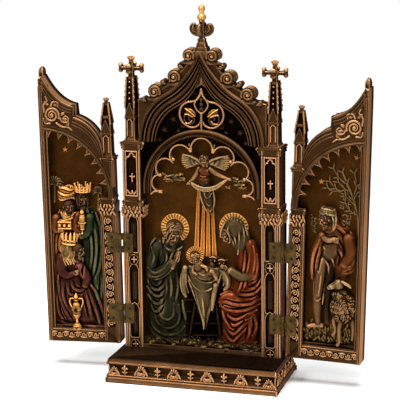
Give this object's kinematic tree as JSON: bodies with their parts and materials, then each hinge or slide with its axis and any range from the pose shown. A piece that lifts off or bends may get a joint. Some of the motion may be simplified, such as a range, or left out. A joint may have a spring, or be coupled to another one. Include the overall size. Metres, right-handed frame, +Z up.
{
  "type": "triptych altarpiece",
  "caption": "Small cast-bronze-resin Gothic triptych with a Nativity relief under an ogee gable, hinged carved wings and a moulded base that stands by its own weight.",
  "frame": {"origin": "centre of the underside of the base", "axes": "+Z up, the front faces -Y, +X is to the viewer's right"},
  "size_m": [0.2158, 0.0552, 0.24],
  "materials": {
    "bronze_resin": "cold-cast bronze resin, dark brown patina with rubbed copper edges, and reliefs tinted in muted paint",
    "dark_bronze": "cold-cast bronze resin, nearly black glossy top with rubbed copper mouldings",
    "hinge_brass": "aged stamped brass",
    "screw_steel": "darkened steel"
  },
  "bodies": {
    "root": {"base": "dark_bronze", "central_panel": "bronze_resin", "left_lower_hinge_panel_leaf": "hinge_brass", "left_lower_hinge_pin": "hinge_brass", "left_lower_hinge_panel_screw_lower": "screw_steel", "left_lower_hinge_panel_screw_upper": "screw_steel", "left_upper_hinge_panel_leaf": "hinge_brass", "left_upper_hinge_pin": "hinge_brass", "left_upper_hinge_panel_screw_lower": "screw_steel", "left_upper_hinge_panel_screw_upper": "screw_steel", "right_lower_hinge_panel_leaf": "hinge_brass", "right_lower_hinge_pin": "hinge_brass", "right_lower_hinge_panel_screw_lower": "screw_steel", "right_lower_hinge_panel_screw_upper": "screw_steel", "right_upper_hinge_panel_leaf": "hinge_brass", "right_upper_hinge_pin": "hinge_brass", "right_upper_hinge_panel_screw_lower": "screw_steel", "right_upper_hinge_panel_screw_upper": "screw_steel"},
    "left_wing": {"left_wing": "bronze_resin", "left_lower_hinge_wing_leaf": "hinge_brass", "left_lower_hinge_wing_screw_lower": "screw_steel", "left_lower_hinge_wing_screw_upper": "screw_steel", "left_upper_hinge_wing_leaf": "hinge_brass", "left_upper_hinge_wing_screw_lower": "screw_steel", "left_upper_hinge_wing_screw_upper": "screw_steel"},
    "right_wing": {"right_wing": "bronze_resin", "right_lower_hinge_wing_leaf": "hinge_brass", "right_lower_hinge_wing_screw_lower": "screw_steel", "right_lower_hinge_wing_screw_upper": "screw_steel", "right_upper_hinge_wing_leaf": "hinge_brass", "right_upper_hinge_wing_screw_lower": "screw_steel", "right_upper_hinge_wing_screw_upper": "screw_steel"}
  },
  "joints": [
    {"name": "left_wing_hinge", "type": "hinge", "parent": "root", "child": "left_wing", "pos_m": [-0.0539, -0.0012, 0.0622], "axis": [0, 0, 1], "range_deg": [-10.5, 175.5]},
    {"name": "right_wing_hinge", "type": "hinge", "parent": "root", "child": "right_wing", "pos_m": [0.0539, -0.0012, 0.0622], "axis": [0, 0, -1], "range_deg": [-8, 178]}
  ]
}
